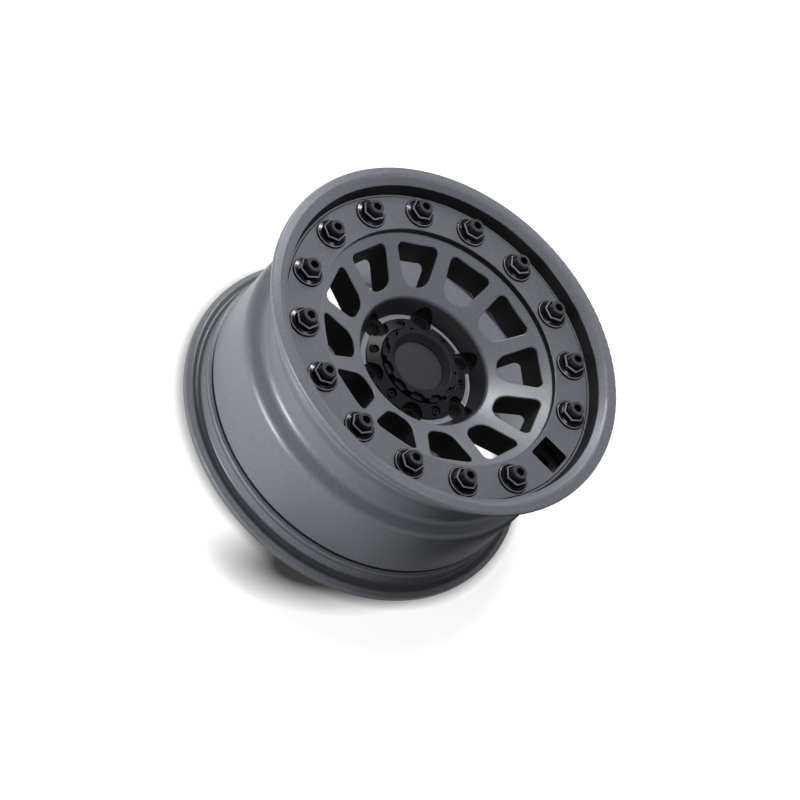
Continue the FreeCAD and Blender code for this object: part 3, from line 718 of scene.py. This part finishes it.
@dataclass(frozen=True)
class Lamp:
    """Soft rectangular lamp that points at the wheel.

    Args:
        name: Name of the lamp.
        bearing: Degrees round the wheel axis from +X.
        rise: Degrees above the floor.
        distance: Distance from the wheel.
        width: Width of the lamp.
        height: Height of the lamp.
        watts: Power.
        glow: What the lamp lights.
        roll: Degrees that the lamp is rolled about its own axis.
    """

    name: str
    bearing: float
    rise: float
    distance: float
    width: float
    height: float
    watts: float
    glow: Glow
    roll: float = 0.0


@dataclass
class Studio:
    """Floor, light and camera.

    The floor and the wall look white to the rays that show them, and give the wheel less light
    than that.  Lengths are metres, and turns are degrees.

    Args:
        floor_half: Half the floor's side.
        floor_colour: Colour of the floor where it is seen.
        floor_bounce: Colour of the floor for the light that it gives the wheel.
        floor_glow: Glow of the floor where it is seen.
        shade_glow: Glow in the middle of the painted shadow.
        shade_colour: Colour in the middle of the painted shadow.
        shade_place: Middle of the painted shadow's oval.
        shade_half: Half the oval's length and width.
        shade_turn: Turn of the oval.
        shade_core: Share of the oval that is painted fully dark.
        contact_inner: Radius at which the flange meets the floor.
        contact_outer: Radius at which the painted shade at the flange ends.
        contact_share: Share of the open floor's look that is left at the flange, a painted contact
            shadow.
        under_glow: Glow of the ring of floor inside the barrel, painted light in the barrel's
            shade.
        under_inner: Inner radius of that ring.
        under_outer: Outer radius of that ring.
        under_fade: Width of its fade.
        flag_inner: Inner radius of the black card.
        flag_outer: Outer radius of the card.
        flag_start: Bearing at which the card begins, fully clear.
        flag_full: Bearing from which it is black.
        flag_stop: Bearing at which it ends.
        flag_lift: Height of the card over the floor.
        flag_steps: Points along the card.
        flag_colour: Colour of the card.
        wall_light: Strength of the wall for the light that it gives the wheel.
        wall_seen: Strength of the wall where it is seen.
        wall_top: Sine of the rise at which the wall begins to darken.
        roof_start: Sine of the rise at which the roof begins.
        roof_light: Share of the wall's strength that the roof has.
        lens: Focal length in millimetres.
        sensor: Width of the sensor in millimetres.
        camera_place: Place of the camera.
        camera_right: Direction to the right of the picture.
        camera_up: Direction to the top of the picture.
        camera_back: Direction away from what the camera looks at.
        lamps: The lamps.
    """

    floor_half: float = 8.0
    floor_colour: float = 0.45
    floor_bounce: float = 0.15
    floor_glow: float = 0.86
    shade_glow: float = 0.01
    shade_colour: float = 0.12
    shade_place: tuple[float, float] = (0.085, -0.2005)
    shade_half: tuple[float, float] = (0.155, 0.062)
    shade_turn: float = 46.0
    shade_core: float = 0.35
    contact_inner: float = 0.236
    contact_outer: float = 0.249
    contact_share: float = 0.45
    under_glow: float = 1.0
    under_inner: float = 0.155
    under_outer: float = 0.200
    under_fade: float = 0.01
    flag_inner: float = 0.25
    flag_outer: float = 1.30
    flag_start: float = -85.0
    flag_full: float = -25.0
    flag_stop: float = 75.0
    flag_lift: float = 0.002
    flag_steps: int = 33
    flag_colour: float = 0.004
    wall_light: float = 0.30
    wall_seen: float = 1.0
    wall_top: float = 0.34
    roof_start: float = 0.60
    roof_light: float = 0.08
    lens: float = 133.816
    sensor: float = 36.0
    camera_place: Triple = (-0.03145688, -2.46662877, 2.63237351)
    camera_right: Triple = (0.70444905, 0.51476012, 0.48864461)
    camera_up: Triple = (-0.70964498, 0.5229308, 0.47217304)
    camera_back: Triple = (-0.01247147, -0.67938604, 0.73367504)
    lamps: tuple[Lamp, ...] = (
        Lamp("low_key", 235.0, 2.0, 2.2, 0.8, 0.36, 48.0, Glow.ALL),
        Lamp("overhead", 118.0, 75.0, 3.0, 0.5, 0.5, 70.0, Glow.FILL),
        Lamp("front_fill", 270.0, 60.0, 2.6, 1.0, 1.0, 6.0, Glow.FILL),
        Lamp("back_fill", 90.0, 22.0, 2.6, 1.2, 1.0, 15.0, Glow.FILL),
        Lamp("top_card", 137.0, 41.0, 2.3, 0.26, 0.90, 34.0, Glow.SHEEN, roll=37.0),
        Lamp("spark", 66.0, 70.0, 2.2, 0.24, 0.24, 2.2, Glow.SHEEN),
        Lamp("inside", 0.0, -90.0, 0.118, 0.26, 0.26, 1.3, Glow.FILL),
    )

    def build(self, floor_height: float) -> None:
        """Makes the floor, the lamps, the world and the camera.

        Args:
            floor_height: Height of the floor.
        """
        self._floor(floor_height)
        self._flag(floor_height + self.flag_lift)
        self._world()
        for lamp in self.lamps:
            self._lamp(lamp)
        self._camera()

    def _seen(self, board: NodeBoard) -> Socket:
        """One for rays that show a surface: camera, glossy and transmission rays.

        Args:
            board: Node tree being filled.

        Returns:
            The socket.
        """
        path = board.add("ShaderNodeLightPath")
        shown = board.math("MAXIMUM", path.outputs["Is Camera Ray"], path.outputs["Is Glossy Ray"])
        return board.math("MAXIMUM", shown, path.outputs["Is Transmission Ray"])

    def _floor(self, height: float) -> None:
        """Pale level floor under the wheel that takes its shadow, partly from the lamps and partly
        painted.

        Its look is a matte colour plus a glow, which is there only for the rays that show it.
        Both are dimmed in an oval and in a narrow ring at the flange, a painted shadow, and the
        glow is raised in a ring inside the barrel, painted light where the barrel shades the
        floor.

        Args:
            height: Height of the floor.
        """
        half = self.floor_half
        corners = np.array([[-half, -half], [half, -half], [half, half], [-half, half]])
        points = np.column_stack([corners, np.full(4, height)])
        mesh = bpy.data.meshes.new("floor")
        mesh.from_pydata(points.tolist(), [], [(0, 1, 2, 3)])
        floor = link("floor", mesh)
        material, board = bare_material("floor_white")
        seen = self._seen(board)
        matte = board.add("ShaderNodeBsdfDiffuse")
        place = board.add("ShaderNodeTexCoord").outputs["Object"]
        spread = board.length(place)
        # Painted shadow: where the clear share falls, the seen colour and the glow are dimmed.
        clear = self._floor_clear(board, place, spread, height)
        shown = board.ramp(clear, 0.0, 1.0, self.shade_colour, self.floor_colour)
        tint = board.add("ShaderNodeMix", A=self.floor_bounce)
        board.join(seen, tint.inputs["Factor"])
        board.join(shown, tint.inputs["B"])
        board.join(tint.outputs["Result"], matte.inputs["Color"])
        glow = board.add("ShaderNodeEmission")
        level = self._floor_level(board, spread, clear, height)
        board.join(board.math("MULTIPLY", seen, level), glow.inputs["Strength"])
        both = board.add("ShaderNodeAddShader")
        board.join(matte.outputs[0], both.inputs[0])
        board.join(glow.outputs[0], both.inputs[1])
        board.join(both.outputs[0], board.add("ShaderNodeOutputMaterial").inputs["Surface"])
        mesh.materials.append(material)

    def _floor_clear(
        self, board: NodeBoard, place: Socket, spread: Socket, height: float,
    ) -> Socket:
        """Share of the open floor's look: one in the open, less in the painted shadow and at the
        flange.

        It falls to nothing in the middle of the oval where the shadow is painted.

        Args:
            board: Node tree being filled.
            place: Object coordinates.
            spread: Distance from the origin.
            height: Height of the floor.

        Returns:
            The share socket.
        """
        # Painted shadow: the floor's look is dimmed in an oval beside the wheel.
        oval = board.add("ShaderNodeMapping")
        oval.vector_type = "TEXTURE"
        oval.inputs["Location"].default_value = (*self.shade_place, height)
        oval.inputs["Rotation"].default_value = (0.0, 0.0, np.radians(self.shade_turn))
        oval.inputs["Scale"].default_value = (*self.shade_half, 1.0)
        board.join(place, oval.inputs["Vector"])
        reach = board.length(oval.outputs["Vector"])
        # Painted contact shadow: the floor's look is dimmed in a narrow ring round the flange.
        near, far = np.hypot((self.contact_inner, self.contact_outer), height).tolist()
        contact = board.ramp(spread, near, far, self.contact_share, 1.0)
        return board.math("MULTIPLY", board.ramp(reach, self.shade_core, 1.0, 0.0, 1.0), contact)

    def _floor_level(
        self, board: NodeBoard, spread: Socket, clear: Socket, height: float,
    ) -> Socket:
        """How far the floor glows: evenly outside the painted shadow, and in a ring of painted
        light inside the barrel.

        Args:
            board: Node tree being filled.
            spread: Distance from the origin.
            clear: Share of the open floor's look.
            height: Height of the floor.

        Returns:
            The strength socket.
        """
        outside = board.ramp(clear, 0.0, 1.0, self.shade_glow, self.floor_glow)
        # Painted light: the ring of floor inside the barrel, which the barrel shades, glows white.
        inner, outer = np.hypot((self.under_inner, self.under_outer), height).tolist()
        inside = board.ramp(spread, inner, inner + self.under_fade, 0.0, self.under_glow)
        beyond = board.ramp(spread, outer, outer + self.under_fade, 0.0, 1.0)
        blend = board.add("ShaderNodeMix")
        board.join(beyond, blend.inputs["Factor"])
        board.join(inside, blend.inputs["A"])
        board.join(outside, blend.inputs["B"])
        return blend.outputs["Result"]

    def _flag(self, height: float) -> None:
        """Black card on the floor at the right, which keeps that side of the barrel dark.

        It is part of a ring: radius from inner to outer, bearing from start to stop.  It goes from
        clear at the start to full.  The camera doesn't see it, and it throws no shadow.

        Args:
            height: Height of the card.
        """
        turn = np.linspace(self.flag_start, self.flag_stop, self.flag_steps)
        reach = np.array([self.flag_inner, self.flag_outer])
        across, along = np.meshgrid(np.radians(turn), reach)
        level = np.full_like(along, height)
        points = np.stack([along * np.cos(across), along * np.sin(across), level], axis=2)
        first = np.arange(turn.size - 1)
        faces = np.stack([first, first + turn.size, first + turn.size + 1, first + 1], axis=1)
        mesh = bpy.data.meshes.new("flag")
        mesh.from_pydata(points.reshape(-1, 3).tolist(), [], faces.tolist())
        cover = np.clip((turn - self.flag_start) / (self.flag_full - self.flag_start), 0.0, 1.0)
        field = mesh.attributes.new("cover", "FLOAT", "POINT")
        field.data.foreach_set("value", np.tile(cover, reach.size))
        flag = link("flag", mesh)
        material, board = bare_material("flag_black")
        share = board.add("ShaderNodeAttribute")
        share.attribute_name = "cover"
        black = board.add("ShaderNodeBsdfDiffuse")
        black.inputs["Color"].default_value = (*[self.flag_colour] * 3, 1.0)
        blend = board.add("ShaderNodeMixShader")
        board.join(share.outputs["Fac"], blend.inputs[0])
        board.join(board.add("ShaderNodeBsdfTransparent").outputs[0], blend.inputs[1])
        board.join(black.outputs[0], blend.inputs[2])
        board.join(blend.outputs[0], board.add("ShaderNodeOutputMaterial").inputs["Surface"])
        mesh.materials.append(material)
        flag.visible_camera = False
        flag.visible_shadow = False

    def _world(self) -> None:
        """White wall all round that goes dark overhead."""
        world = bpy.data.worlds.new("studio")
        bpy.context.scene.world = world
        world.use_nodes = True
        board = NodeBoard(world.node_tree)
        sky = board.find("BACKGROUND")
        sky.inputs["Color"].default_value = (1.0, 1.0, 1.0, 1.0)
        split = board.add("ShaderNodeSeparateXYZ")
        board.join(board.add("ShaderNodeTexCoord").outputs["Generated"], split.inputs["Vector"])
        wall = board.ramp(self._seen(board), 0.0, 1.0, self.wall_light, self.wall_seen)
        fade = board.ramp(split.outputs["Z"], self.wall_top, self.roof_start, 1.0, self.roof_light)
        board.join(board.math("MULTIPLY", wall, fade), sky.inputs["Strength"])

    def _lamp(self, lamp: Lamp) -> None:
        """Places one lamp and points it at the wheel.

        Args:
            lamp: The lamp's place, size and power.
        """
        data = bpy.data.lights.new(lamp.name, "AREA")
        data.shape = "RECTANGLE"
        data.size = lamp.width
        data.size_y = lamp.height
        data.energy = lamp.watts
        light = link(lamp.name, data)
        bearing, rise = np.radians(lamp.bearing), np.radians(lamp.rise)
        away = lamp.distance * Vector((
            np.cos(bearing) * np.cos(rise), np.sin(bearing) * np.cos(rise), np.sin(rise),
        ))
        light.location = away
        light.rotation_mode = "QUATERNION"
        roll = Quaternion((0.0, 0.0, 1.0), np.radians(lamp.roll))
        light.rotation_quaternion = (-away).to_track_quat("-Z", "Y") @ roll
        light.visible_camera = False
        light.visible_diffuse = lamp.glow is not Glow.SHEEN
        light.visible_glossy = lamp.glow is not Glow.FILL

    def _camera(self) -> None:
        """Camera at the photograph's place, turned and rolled as there."""
        data = bpy.data.cameras.new("camera")
        data.sensor_fit = "HORIZONTAL"
        data.sensor_width = self.sensor
        data.lens = self.lens
        camera = link("camera", data)
        turn = Matrix((self.camera_right, self.camera_up, self.camera_back)).transposed()
        camera.matrix_world = Matrix.Translation(self.camera_place) @ turn.to_4x4()
        bpy.context.scene.camera = camera


def main() -> None:
    """Builds the looks in order and reports each piece."""
    logging.basicConfig(level=logging.INFO)
    for thing in list(bpy.data.objects):
        bpy.data.objects.remove(thing)
    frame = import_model()
    bpy.context.scene.view_settings.view_transform = "Standard"
    WheelSolids(frame["nodes"]).dress()
    threads = StudThreads().build()
    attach(threads, BODY)
    LOG.info("threads on %d studs", StudThreads.count)
    floor_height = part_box("wheel_casting")[0].z
    Studio().build(floor_height)


if __name__ == "__main__":
    main()
